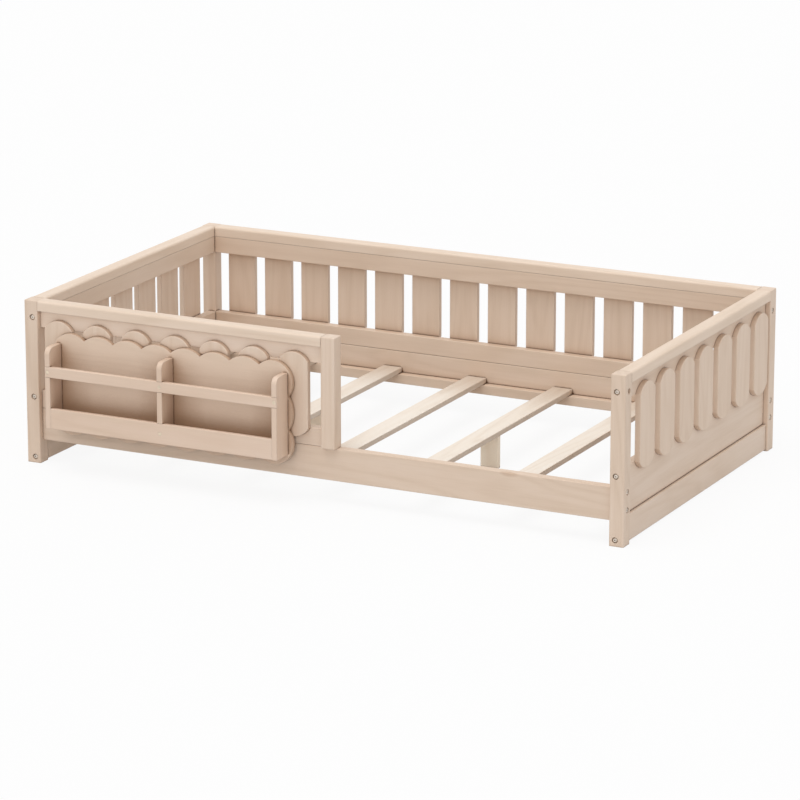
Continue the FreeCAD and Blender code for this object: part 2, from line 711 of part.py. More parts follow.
def cloud_board():
    """The bookshelf's back board, scalloped all round with larger lobes at the corners."""
    length = CLOUD_LENGTH
    height = s.cloud_height
    corner = s.corner_radius
    inset = 2 * s.scallop_depth
    start = SHELF_MIDDLE - length / 2
    body = new_body("shelf_back_board", start, FRONT - s.shelf_back_thickness, CLOUD_BOTTOM)
    plate = sketch_across(body, "Y")
    polygon(plate, [
        (corner, inset), (length - corner, inset), (length - corner, corner),
        (length - inset, corner), (length - inset, height - corner), (length - corner, height - corner),
        (length - corner, height - inset), (corner, height - inset), (corner, height - corner),
        (inset, height - corner), (inset, corner), (corner, corner),
    ])
    pad(body, plate, "Y", s.shelf_back_thickness)
    for up in (SCALLOP_RADIUS, height - SCALLOP_RADIUS):
        lobe = disc(body, s.cloud_corner_length + SCALLOP_PITCH / 2, up, SCALLOP_RADIUS)
        row = body.newObject("PartDesign::LinearPattern", "Scallops")
        row.Originals = [lobe]
        row.Direction = (origin_part(body, "X_Axis"), [""])
        row.Mode = "Spacing"
        bind(row, "Offset", SCALLOP_PITCH)
        bind(row, "Occurrences", s.scallop_count)
        body.Tip = row
    for across in (corner, length - corner):
        for up in (corner, height - corner):
            disc(body, across, up, corner)
    for across in (SIDE_BULGE_RADIUS, length - SIDE_BULGE_RADIUS):
        disc(body, across, height / 2, SIDE_BULGE_RADIUS)
    screws = [(x - start, z - CLOUD_BOTTOM) for x in DIVIDER_MIDDLES for z in MOUNT_SCREW_HEIGHTS]
    bore(body, "Y", 0, 1, screws, SCREW_HOLE, s.shelf_back_thickness)


def divider(name, middle, bottom, notches, screw_heights):
    """An upright of the bookshelf with a rounded front corner, notched for its bars."""
    height = SHELF_BOTTOM + s.divider_height - bottom
    body = new_body(name, middle - s.divider_thickness / 2, SHELF_FRONT, bottom)
    outline = sketch_across(body, "Z")
    rectangle(outline, s.divider_thickness, s.shelf_depth)
    pad(body, outline, "Z", height)
    soften(body, s.divider_corner,
           lambda edge: runs_along(edge, "X") and edge.CenterOfMass.z > NEAR and edge.CenterOfMass.y < NEAR)
    bar = s.shelf_bar_thickness
    for low, high in notches:
        notch = sketch_across(body, "X")
        under = low - bottom
        over = high - bottom
        polygon(notch, [(ZERO, under), (bar, under), (bar, over), (ZERO, over)])
        cut(body, notch, "X", 1, s.divider_thickness)
    half = s.divider_thickness / 2
    bars = [(half, z - bottom) for z in screw_heights]
    bore(body, "Y", bar, 1, bars, SCREW_HOLE, s.screw_length - bar + s.hole_spare)
    grip = s.screw_length - s.picket_thickness - s.shelf_back_thickness + s.hole_spare
    mounts = [(half, z - bottom) for z in MOUNT_SCREW_HEIGHTS]
    bore(body, "Y", s.shelf_depth, -1, mounts, SCREW_HOLE, grip)


def shelf_bar(name, start, length, bottom, height, screw_places):
    """A flat bar across the bookshelf's front, with screw holes where it meets the dividers."""
    corner = (start, SHELF_FRONT, bottom)
    bar = box(name, corner, length, s.shelf_bar_thickness, height, "X", s.board_round)
    centres = [(x - start, height / 2) for x in screw_places]
    bore(bar, "Y", 0, 1, centres, SCREW_HOLE, s.shelf_bar_thickness)
    bore(bar, "Y", 0, 1, centres, SCREW_RECESS, s.screw_head_height)


def shelf_board():
    """The floor of both compartments, behind the bottom bar."""
    corner = (INNER_SHELF_START, SHELF_FRONT + s.shelf_bar_thickness, SHELF_BOTTOM)
    width = s.shelf_depth - s.shelf_bar_thickness
    height = s.shelf_board_thickness
    box("shelf_bottom_board", corner, INNER_SHELF_LENGTH, width, height, "X", s.board_round)


INNER_SHELF_START = SHELF_MIDDLE - INNER_SHELF_LENGTH / 2
TOP_BAR_BOTTOM = SHELF_BOTTOM + s.top_bar_rise
TOP_SCREW_HEIGHT = TOP_BAR_BOTTOM + s.top_bar_height / 2
BOTTOM_SCREW_HEIGHT = SHELF_BOTTOM + s.bottom_bar_height / 2
TOP_NOTCH = (TOP_BAR_BOTTOM, TOP_BAR_BOTTOM + s.top_bar_height)
BOTTOM_NOTCH = (SHELF_BOTTOM + s.shelf_board_thickness, SHELF_BOTTOM + s.bottom_bar_height)
cloud_board()
divider("shelf_divider_left", DIVIDER_MIDDLES[0], SHELF_BOTTOM, [TOP_NOTCH], [TOP_SCREW_HEIGHT])
divider("shelf_divider_middle", DIVIDER_MIDDLES[1], BOTTOM_NOTCH[0], [TOP_NOTCH, BOTTOM_NOTCH],
        [TOP_SCREW_HEIGHT, BOTTOM_SCREW_HEIGHT])
divider("shelf_divider_right", DIVIDER_MIDDLES[2], SHELF_BOTTOM, [TOP_NOTCH], [TOP_SCREW_HEIGHT])
shelf_bar("shelf_top_bar", SHELF_MIDDLE - SHELF_LENGTH / 2, SHELF_LENGTH, TOP_BAR_BOTTOM,
          s.top_bar_height, DIVIDER_MIDDLES)
shelf_bar("shelf_bottom_bar", INNER_SHELF_START, INNER_SHELF_LENGTH, SHELF_BOTTOM,
          s.bottom_bar_height, [SHELF_MIDDLE])
shelf_board()

picket_screws = [(x - GUARD_ROW_START, z - PICKET_BOTTOM)
                 for x in DIVIDER_MIDDLES for z in MOUNT_SCREW_HEIGHTS]
bore(guard_pickets, "Y", s.picket_thickness, -1, picket_screws, SCREW_HOLE, s.picket_thickness)
bore(guard_pickets, "Y", s.picket_thickness, -1, picket_screws, SCREW_RECESS, s.screw_head_height)


# ---------------------------------------------------------------- fasteners


def turned_body(name, profile):
    """A fastener turned about the X axis from an outline of (along, out) sizes."""
    body = DOC.addObject("PartDesign::Body", name)
    sketch = sketch_across(body, "Y")
    polygon(sketch, profile)
    turned = body.newObject("PartDesign::Revolution", "Turned")
    turned.Profile = sketch
    turned.ReferenceAxis = (origin_part(body, "X_Axis"), [""])
    turned.Angle = 360
    body.Tip = turned
    return body


def group(name, master, places):
    """One node of equal fasteners; each place is (x, y, z, rotation)."""
    links = []
    for x, y, z, rotation in places:
        link = DOC.addObject("App::Link", f"{name}_{len(links) + 1}")
        link.setLink(master)
        link.LinkTransform = False
        link.Placement = FreeCAD.Placement(FreeCAD.Vector(), rotation)
        place(link, x, y, z)
        links.append(link)
    compound = DOC.addObject("Part::Compound", name)
    compound.Label = name
    compound.Links = links
    PIECES.append(compound)


def heading(way):
    """The rotation that points a fastener along a heading in the floor's plane."""
    return FreeCAD.Rotation(AXES["Z"], HEADINGS[way])


UPWARD = FreeCAD.Rotation(AXES["Y"], -90)


def bolt_master():
    """A furniture bolt with a flat round head; its seat is at the body's origin."""
    head = s.bolt_head_diameter / 2
    shank = s.bolt_diameter / 2
    top = -s.bolt_head_height
    corner = s.bolt_head_round
    socket = s.bolt_socket / 2
    socket_floor = top + s.bolt_socket_depth
    profile = [(socket_floor, ZERO), (s.bolt_length, ZERO), (s.bolt_length, shank), (ZERO, shank),
               (ZERO, head), (top + corner, head), (top, head - corner), (top, socket),
               (socket_floor, socket)]
    return turned_body("bolt", profile)


def insert_master():
    """A threaded sleeve that the bolt screws into, flush with a rail's end."""
    bore_radius = (s.bolt_diameter + s.hole_fit) / 2
    outer = s.insert_diameter / 2
    profile = [(ZERO, bore_radius), (s.insert_length, bore_radius), (s.insert_length, outer), (ZERO, outer)]
    return turned_body("insert", profile)


def dowel_master():
    """A plain round dowel."""
    radius = s.dowel_diameter / 2
    profile = [(ZERO, ZERO), (s.dowel_length, ZERO), (s.dowel_length, radius), (ZERO, radius)]
    return turned_body("dowel", profile)


def screw_master():
    """A countersunk wood screw; its flat top is at the body's origin."""
    head = s.screw_head_diameter / 2
    shank = s.screw_diameter / 2
    profile = [(ZERO, ZERO), (s.screw_length, ZERO), (s.screw_length, shank),
               (s.screw_head_height, shank), (ZERO, head)]
    return turned_body("screw", profile)


def joint_places():
    """Where each bolt crosses a post's outer face: x, y, z and heading."""
    places = []
    for x in (LEFT + s.bolt_inset, RIGHT - s.bolt_inset):
        for y, way in ((FRONT, "+Y"), (BACK, "-Y")):
            places += [(x, y, z, way) for z in END_BOLT_HEIGHTS]
    front_y = FRONT + s.bolt_inset
    back_y = BACK - s.bolt_inset
    for x, y, way in ((LEFT, front_y, "+X"), (LEFT, back_y, "+X"), (RIGHT, back_y, "-X")):
        places += [(x, y, z, way) for z in SIDE_BOLT_HEIGHTS]
    places += [(RIGHT, front_y, z, "-X") for z in RAIL_BOLT_HEIGHTS]
    return places


def moved(where, distance):
    """A place moved along its own heading."""
    x, y, z, way = where
    sense = 1 if way[0] == "+" else -1
    if way[1] == "X":
        return x + sense * distance, y, z, heading(way)
    return x, y + sense * distance, z, heading(way)


def dowel_places():
    """Where each dowel starts: its end in a post, or in the piece that it stands in."""
    places = []
    seat = s.dowel_seat
    cap_z = s.post_height - s.cap_height / 2
    half = s.post_side / 2
    inner = {"+X": LEFT + s.post_side, "-X": RIGHT - s.post_side,
             "+Y": FRONT + s.post_side, "-Y": BACK - s.post_side}
    for x in (LEFT + half, RIGHT - half):
        places += [moved((x, inner[way], cap_z, way), -seat) for way in ("+Y", "-Y")]
    board_front = FRONT + BOARD_MIDDLE
    board_back = BACK - BOARD_MIDDLE
    lower_z = s.rail_top + s.dowel_rise
    upper_z = UPPER_BOARD_BOTTOM + s.upper_board_height / 2
    guard_end = LEFT + s.guard_length
    guard_inner = guard_end - s.post_side
    along_x = [
        (inner["+X"], FRONT + half, cap_z, "+X"),
        (guard_inner, FRONT + half, cap_z, "-X"),
        (inner["+X"], BACK - half, cap_z, "+X"),
        (inner["-X"], BACK - half, cap_z, "-X"),
        (inner["+X"], board_front, lower_z, "+X"),
        (guard_inner, board_front, lower_z, "-X"),
        (guard_inner, board_front, upper_z, "-X"),
        (inner["+X"], board_back, lower_z, "+X"),
        (inner["-X"], board_back, lower_z, "-X"),
    ]
    places += [moved(where, -seat) for where in along_x]
    places += [(guard_end - inset, board_front, s.rail_top - seat, UPWARD) for inset in FOOT_DOWEL_INSETS]
    middle = (FRONT + BACK) / 2
    leg_z = SLAT_BOTTOM + LEG_DOWEL_SEAT - s.dowel_length
    places += [(x, middle, leg_z, UPWARD) for x in LEG_MIDDLES]
    return places


def screw_places():
    """Where each wood screw's head is flush: slats, bars and bookshelf mounting."""
    places = [(x, y, s.rail_bottom, UPWARD) for x in SLAT_MIDDLES for y in (FRONT_SCREW_Y, BACK_SCREW_Y)]
    places += [(x, SHELF_FRONT, TOP_SCREW_HEIGHT, heading("+Y")) for x in DIVIDER_MIDDLES]
    places += [(SHELF_MIDDLE, SHELF_FRONT, BOTTOM_SCREW_HEIGHT, heading("+Y"))]
    inner = FRONT + s.picket_thickness
    places += [(x, inner, z, heading("-Y")) for x in DIVIDER_MIDDLES for z in MOUNT_SCREW_HEIGHTS]
    return places


group("frame_bolts", bolt_master(), [moved(where, s.head_recess_depth) for where in joint_places()])
group("insert_nuts", insert_master(), [moved(where, s.post_side) for where in joint_places()])
group("dowels", dowel_master(), dowel_places())
group("wood_screws", screw_master(), screw_places())


# ---------------------------------------------------------------- checks and files


def write_pieces():
    """Checks every object and each piece, then writes one file for each piece."""
    DOC.recompute()
    for thing in DOC.Objects:
        if "Invalid" in thing.State or "Error" in thing.State:
            raise RuntimeError(f"{thing.Name} failed: {thing.State}")
    os.makedirs("parts", exist_ok=True)
    for piece in PIECES:
        shape = piece.Shape
        if shape.isNull() or not shape.isValid() or shape.Volume <= 0:
            raise RuntimeError(f"{piece.Label} has no sound shape")
        shape.exportStep(f"parts/{piece.Label}.step")
        size = shape.BoundBox
        print(f"{piece.Label:22s} solids {len(shape.Solids):3d}  {size.XLength:8.1f} {size.YLength:7.1f}"
              f" {size.ZLength:7.1f}  volume {shape.Volume:12.0f}")


write_pieces()
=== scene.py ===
"""Looks of the toddler floor bed: whitewashed wood, steel fasteners, studio light and camera."""

import math
import random

import bpy
from mathutils import Euler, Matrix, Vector


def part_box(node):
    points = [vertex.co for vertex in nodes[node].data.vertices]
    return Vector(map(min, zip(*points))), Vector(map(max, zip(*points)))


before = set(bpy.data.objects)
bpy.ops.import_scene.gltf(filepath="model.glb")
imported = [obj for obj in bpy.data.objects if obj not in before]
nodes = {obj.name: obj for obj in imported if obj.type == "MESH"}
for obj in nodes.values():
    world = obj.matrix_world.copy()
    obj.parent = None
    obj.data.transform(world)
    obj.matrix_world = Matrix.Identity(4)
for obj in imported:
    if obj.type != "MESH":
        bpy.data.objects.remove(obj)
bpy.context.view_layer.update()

# ---------------------------------------------------------------- colours (as seen, sRGB 0..255)

# pale, middle and deep tone of each wood, and their places on the scale of tones
FRAME_TONES = ((231, 212, 195), (223, 201, 181), (208, 184, 161))
# painted light: the caps are a little lighter than the frame, so that their tops look more brightly lit
CAP_PAINTED_LIGHT_TONES = ((237, 219, 202), (229, 208, 188), (214, 191, 168))
# painted shade: a deeper copy of the frame's tones for the back, its pickets, the ledgers, the back left
# post and the right end's pickets, which stand in shade
INNER_PAINTED_SHADE_TONES = ((231, 210, 191), (222, 199, 178), (208, 183, 160))
SHELF_TONES = ((236, 214, 194), (228, 205, 184), (213, 188, 166))
# painted light: paler than the frame, lifting the guard's upper board out of the shade under its cap
GUARD_PAINTED_LIGHT_TONES = ((246, 228, 212), (239, 218, 199), (225, 202, 180))
BAR_TONES = ((231, 208, 190), (223, 198, 177), (208, 181, 157))
SLAT_TONES = ((247, 240, 230), (242, 232, 219), (228, 214, 198))
# painted light: nearly white, lifting the legs out of the shade under the deck
LEG_PAINTED_LIGHT_TONES = ((255, 244, 226), (253, 238, 217), (246, 227, 204))
BIRCH_TONES = ((224, 198, 166), (214, 185, 150), (196, 163, 126))
TONE_STOPS = (0.12, 0.48, 0.92)

SEAM = (104, 74, 55)
SHELTER = (196, 178, 162)
KNOT = (190, 156, 127)
EDGE = (247, 233, 219)
STEEL = (232, 222, 210)
BRASSY = (238, 220, 196)
ZINC = (188, 186, 176)

# ---------------------------------------------------------------- figure of the wood

# how far a board's seed moves it along, across and through the tree, in metres
BOARD_SHIFT = (7.3, 3.1, 1.7)
# knots: cells per metre, that scale's share along the grain, and the mark above which a cell has a knot
KNOT_CELLS = 9.0
KNOT_STRETCH = 0.34
KNOT_MARK = 0.72
# distances from a cell's middle where the rings begin to swerve and swerve most, and the same for the spot
KNOT_PULL = (0.42, 0.02)
KNOT_SPOT = (0.085, 0.045)
KNOT_SWERVE = 1.1
KNOT_STRENGTH = 0.8
# rings: the level lines of a smooth field, with its scale along and across the grain
RING_ALONG = 0.9
RING_ACROSS = 9.0
RING_DETAIL = 1.5
RING_ROUGHNESS = 0.35
RING_COUNT = 13.0
RING_SHARPNESS = 2.2
# scale per metre, that scale's share along the grain, detail and roughness
FIBRE = (620.0, 0.035, 3.0, 0.62)
STREAK = (62.0, 0.05, 3.0, 0.55)
PATCH_SCALE = 5.0
# the tone to start from, and what each part of the figure adds
BASE_TONE = 0.42
STREAK_TONE = 0.45
PATCH_TONE = 0.35
RING_TONE = 0.13
FIBRE_TONE = 0.34
TINT_TONE = 0.18

# ---------------------------------------------------------------- wear, shade and surface of the wood

# rubbed edges: radius in metres, the normals' agreement from clean to rubbed, and how much shows
EDGE_RADIUS = 0.0022
EDGE_TURN = (0.995, 0.86)
EDGE_STRENGTH = 0.30
EDGE_FIBRE = 0.9
EDGE_LEAST = 0.05
# seams: reach in metres, and the openness where shade comes in and, in a closed joint, goes again
SEAM_REACH = 0.008
SEAM_NARROW = (0.67, 0.50)
SEAM_CLOSED = (0.0, 0.14)
# a normal's part along the grain, from side to end, and how much shade a tight end loses
END_FACE = (0.10, 0.50)
END_TIGHTNESS = 0.75
# sheltered places: reach in metres, and the openness where their shade starts and is full
NEAR_SHELTER = (0.08, 0.90, 0.35)
DECK_SHELTER = (0.30, 0.96, 0.60)
# bump: depth in metres, and how far fibres, rings and knots rise or sink
BUMP_STRENGTH = 0.55
BUMP_DEPTH = 0.00022
FIBRE_RISE = 0.9
RING_RISE = -0.35
KNOT_RISE = 0.25
# roughness, what fibres and patches add to it, and the thin coat of paint
ROUGHNESS = 0.40
FIBRE_ROUGHNESS = 0.16
PATCH_ROUGHNESS = 0.10
SPECULAR = 0.35
COAT = 0.06
COAT_ROUGHNESS = 0.35

# ---------------------------------------------------------------- metal

SCUFF_SCALE = 900.0
SCUFF_ROUGHNESS = 0.22
SCUFF_STRENGTH = 0.3
SCUFF_DEPTH = 0.00005
CLOUD_SCALE = 140.0
CLOUD_LEVELS = (0.35, 0.75)
METALLIC = 0.6
# share of the brightness left where the metal is dull, and where it is tarnished
DULL = 0.80
TARNISHED = 0.74
# tarnish in recesses: reach in metres, and the openness where it starts and is full
RECESS_REACH = 0.004
RECESS_OPEN = (0.55, 0.15)

# ---------------------------------------------------------------- which piece is made of what

# figure: strength of the grain; shade: in sheltered places; the seams' strength: dirt in the joints and
# painted shade in the corners between parts
WOODS = {
    "frame": dict(tones=FRAME_TONES, seam_dirt_and_shade=0.80),
    "cap": dict(tones=CAP_PAINTED_LIGHT_TONES, seam_dirt_and_shade=0.80),
    "guard": dict(tones=GUARD_PAINTED_LIGHT_TONES, seam_dirt_and_shade=0.60),
    "post": dict(tones=FRAME_TONES, seam_dirt_and_shade=0.28),
    "inner": dict(tones=INNER_PAINTED_SHADE_TONES, shade=0.25, seam_dirt_and_shade=1.0),
    "left": dict(tones=FRAME_TONES, shade=0.10),
    "back_picket": dict(tones=INNER_PAINTED_SHADE_TONES, shade=0.6),
    "guard_picket": dict(tones=FRAME_TONES, shade=0.5),
    "leg": dict(tones=LEG_PAINTED_LIGHT_TONES, seam_dirt_and_shade=0.60),
    "shelf": dict(tones=SHELF_TONES, figure=0.6, shade=1.0),
    "bar": dict(tones=BAR_TONES, figure=0.8, shade=0.7),
    "slat": dict(tones=SLAT_TONES, figure=1.35, shade=0.62, shelter=DECK_SHELTER),
    "dowel": dict(tones=BIRCH_TONES, figure=0.8, seam_dirt_and_shade=0.0),
}
# a piece's wood goes by the start of its name: the first line that fits counts, and the rest are frame
WOOD_OF = (
    (("shelf_back_board",), "shelf"),
    (("shelf_",), "bar"),
    (("slat_",), "slat"),
    (("support_leg",), "leg"),
    (("guard_upper_board",), "guard"),
    (("guard_cap", "back_cap", "left_cap", "right_cap"), "cap"),
    (("post_front", "post_back_right", "guard_post"), "post"),
    (("back_upper", "back_lower", "back_rail", "back_ledger", "front_ledger", "post_back_left",
      "right_picket"), "inner"),
    (("left_upper", "left_lower", "left_picket"), "left"),
    (("dowels",), "dowel"),
)
# rows of pickets in one node: their wood and their count
ROWS = {"back_pickets": ("back_picket", 14), "guard_pickets": ("guard_picket", 7)}
PICKET_WIDTH = 0.068
# fasteners: their metal's name, colour and roughness
METALS = {
    "frame_bolts": ("bolt_steel", STEEL, 0.30),
    "wood_screws": ("screw_steel", BRASSY, 0.30),
    "insert_nuts": ("insert_zinc", ZINC, 0.34),
}
# the grain runs along X in all other pieces
GRAIN_ALONG_Y = ("left_cap", "right_cap", "left_upper", "right_upper", "left_lower", "right_lower",
                 "left_foot", "right_foot", "slat_")
GRAIN_UPRIGHT = ("post_", "guard_post", "support_leg", "left_picket", "right_picket", "shelf_divider")
# which of X, Y and Z lies along, across and through the board
GRAIN_ORDER = {"X": (0, 1, 2), "Y": (1, 0, 2), "Z": (2, 0, 1)}

# ---------------------------------------------------------------- floor, light and camera

SKY = 0.65
# name, where from, strength and softness in degrees
SUNS = (
    ("key_light", (-0.10, -0.25, 1.00), 1.19, 40),
    ("front_light", (0.20, -0.90, 0.40), 0.29, 30),
    ("side_light", (0.90, -0.30, 0.35), 0.22, 60),
)
# the floor's half width in metres, what it throws back, how it glows, and what takes the shadow
FLOOR_HALF = 40.0
FLOOR_ALBEDO = 0.72
FLOOR_GLOW = 0.90
FLOOR_SHADE = 0.08
FLOOR_MOTTLE = 1.02
MOTTLE_SCALE = 3.0
MOTTLE_LEVELS = (0.2, 0.8)
# the camera's place and reach in metres, its turns in degrees, and its lens and sensor in millimetres
CAMERA_PLACE = (3.9335, -7.8808, 2.5619)
CAMERA_REACH = 200.0
CAMERA_DOWN = 15.434
CAMERA_ASIDE = 26.472
CAMERA_LENS = 190.67
CAMERA_SENSOR = 36.0


def linear(colour):
    """An sRGB colour in 0..255 as linear RGBA."""
    def channel(value):
        value /= 255
        return value / 12.92 if value <= 0.04045 else ((value + 0.055) / 1.055) ** 2.4
    return tuple(channel(value) for value in colour) + (1.0,)


def dimmed(colour, share):
    """A linear colour with a share of its brightness."""
    return tuple(share * value for value in colour[:3]) + (1.0,)


def grey(value):
    """A linear grey as RGBA."""
    return (value, value, value, 1.0)


WHITE = grey(1.0)

# ---------------------------------------------------------------- node graphs


class Graph:
    """The node tree of a material or world, filled by small calls that return sockets."""

    def __init__(self, owner):
        self.owner = owner
        owner.use_nodes = True
        self.tree = owner.node_tree
        self.tree.nodes.clear()

    def add(self, kind, *inputs, settings=None, out=0, **named):
        """Adds a node, feeds its inputs by place or name, and returns an output, or the node for None."""
        node = self.tree.nodes.new(kind)
        for key, value in (settings or {}).items():
            setattr(node, key, value)
        for index, value in enumerate(inputs):
            self.feed(node.inputs[index], value)
        for key, value in named.items():
            self.feed(node.inputs[key.replace("_", " ")], value)
        return node if out is None else node.outputs[out]

    def feed(self, socket, value):
        """Links an output to a socket, or sets the socket to a number or colour."""
        if value is None:
            return
        if isinstance(value, bpy.types.NodeSocket):
            self.tree.links.new(value, socket)
        else:
            socket.default_value = value

    def math(self, operation, a, b=None, c=None, clamp=False):
        settings = {"operation": operation, "use_clamp": clamp}
        return self.add("ShaderNodeMath", a, b, c, settings=settings)

    def combine(self, x, y, z):
        return self.add("ShaderNodeCombineXYZ", x, y, z)

    def parts(self, vector):
        """A vector's X, Y and Z."""
        return self.add("ShaderNodeSeparateXYZ", vector, out=None).outputs

    def noise(self, vector, scale, detail=2.0, roughness=0.5):
        return self.add("ShaderNodeTexNoise", Vector=vector, Scale=scale, Detail=detail,
                        Roughness=roughness)

    def spread(self, value, low, high):
        """Maps low..high to 0..1, smoothly and clamped."""
        return self.add("ShaderNodeMapRange", value, low, high, 0.0, 1.0,
                        settings={"interpolation_type": "SMOOTHSTEP"})

    def mix(self, factor, a, b, blend="MIX"):
        """Mixes two colours."""
        settings = {"data_type": "RGBA", "blend_type": blend}
        node = self.add("ShaderNodeMix", out=None, settings=settings)
        self.feed(node.inputs[0], factor)
        self.feed(node.inputs[6], a)
        self.feed(node.inputs[7], b)
        return node.outputs[2]

    def openness(self, distance):
        """1 in the open, down to 0 in a deep seam or corner, looking so many metres away."""
        return self.add("ShaderNodeAmbientOcclusion", Distance=distance, out="AO",
                        settings={"samples": 8, "only_local": False})

    def finish(self, shader, output="ShaderNodeOutputMaterial"):
        """Feeds the shader to the tree's output, and returns the material or world."""
        self.tree.links.new(shader, self.tree.nodes.new(output).inputs[0])
        return self.owner


def new_graph(name):
    """The graph of a new, empty material."""
    return Graph(bpy.data.materials.new(name))


# ---------------------------------------------------------------- wood


def seed_of(g, mark, place, row):
    """A number for each board: its node's own and, in a row of pickets, one more for each picket."""
    if not row:
        return mark
    start, pitch = row
    number = g.math("FLOOR", g.math("DIVIDE", g.math("SUBTRACT", place[0], start), pitch))
    per_picket = g.add("ShaderNodeTexWhiteNoise", W=number, settings={"noise_dimensions": "1D"})
    return g.math("ADD", mark, per_picket)


def grain_noise(g, board, scale, stretch, detail, roughness):
    """Noise that is drawn out along the grain."""
    along, across, through = board
    return g.noise(g.combine(g.math("MULTIPLY", along, stretch), across, through), scale, detail, roughness)


def knots_of(g, board):
    """How strongly a knot pulls on the rings at a point, and how dark its spot is there."""
    along, across, through = board
    cells = g.add("ShaderNodeTexVoronoi", Scale=KNOT_CELLS, out=None,
                  Vector=g.combine(g.math("MULTIPLY", along, KNOT_STRETCH), across, through)).outputs
    rare = g.math("GREATER_THAN", g.add("ShaderNodeSeparateColor", cells["Color"]), KNOT_MARK)
    pull = g.math("MULTIPLY", g.spread(cells["Distance"], *KNOT_PULL), rare)
    spot = g.math("MULTIPLY", g.spread(cells["Distance"], *KNOT_SPOT), rare)
    return pull, spot


def rings_of(g, board, pull):
    """Growth rings, which swerve round the knots."""
    along, across, through = board
    point = g.combine(g.math("MULTIPLY", along, RING_ALONG), g.math("MULTIPLY", across, RING_ACROSS),
                      g.math("MULTIPLY", through, RING_ACROSS))
    field = g.noise(point, 1.0, RING_DETAIL, RING_ROUGHNESS)
    turns = g.math("MULTIPLY_ADD", pull, KNOT_SWERVE, g.math("MULTIPLY", field, RING_COUNT))
    wave = g.math("SINE", g.math("MULTIPLY", turns, 2 * math.pi))
    return g.math("POWER", g.math("MULTIPLY_ADD", wave, 0.5, 0.5), RING_SHARPNESS)


def stained(g, tone, tones):
    """The colour of a tone between 0, pale, and 1, deep."""
    ramp = g.add("ShaderNodeValToRGB", tone, out=None)
    pale, middle, deep = (linear(colour) for colour in tones)
    stops = ramp.color_ramp.elements
    stops[0].position, stops[0].color = TONE_STOPS[0], pale
    stops[1].position, stops[1].color = TONE_STOPS[2], deep
    stops.new(TONE_STOPS[1]).color = middle
    return ramp.outputs[0]


def rubbed(g, colour, true_normal, round_normal, fibre):
    """Paint rubbed thin on the edges."""
    turn = g.add("ShaderNodeVectorMath", true_normal, round_normal, out="Value",
                 settings={"operation": "DOT_PRODUCT"})
    edge = g.math("MULTIPLY", g.spread(turn, *EDGE_TURN),
                  g.math("MULTIPLY_ADD", fibre, EDGE_FIBRE, EDGE_LEAST))
    return g.mix(g.math("MULTIPLY", edge, EDGE_STRENGTH), colour, linear(EDGE))


def sheltered(g, colour, shade, shelter):
    """Soft shade in sheltered places."""
    reach, clear, deepest = shelter
    hidden = g.spread(g.openness(reach), clear, deepest)
    return g.mix(g.math("MULTIPLY", hidden, shade), colour, linear(SHELTER), "MULTIPLY")


def seamed(g, colour, true_normal, axis, seam_dirt_and_shade):
    """Dark seams where boards meet, partly dirt in the joints and partly painted shade, faint at a board's
    ends, which butt tightly.
    """
    near_sky = g.openness(SEAM_REACH)
    seam = g.math("MULTIPLY", g.spread(near_sky, *SEAM_NARROW), g.spread(near_sky, *SEAM_CLOSED))
    facing = g.parts(true_normal)["XYZ".index(axis)]
    tight = g.spread(g.math("ABSOLUTE", facing), *END_FACE)
    seam = g.math("MULTIPLY", seam, g.math("MULTIPLY_ADD", tight, -END_TIGHTNESS, 1.0))
    return g.mix(g.math("MULTIPLY", seam, seam_dirt_and_shade), colour, linear(SEAM))


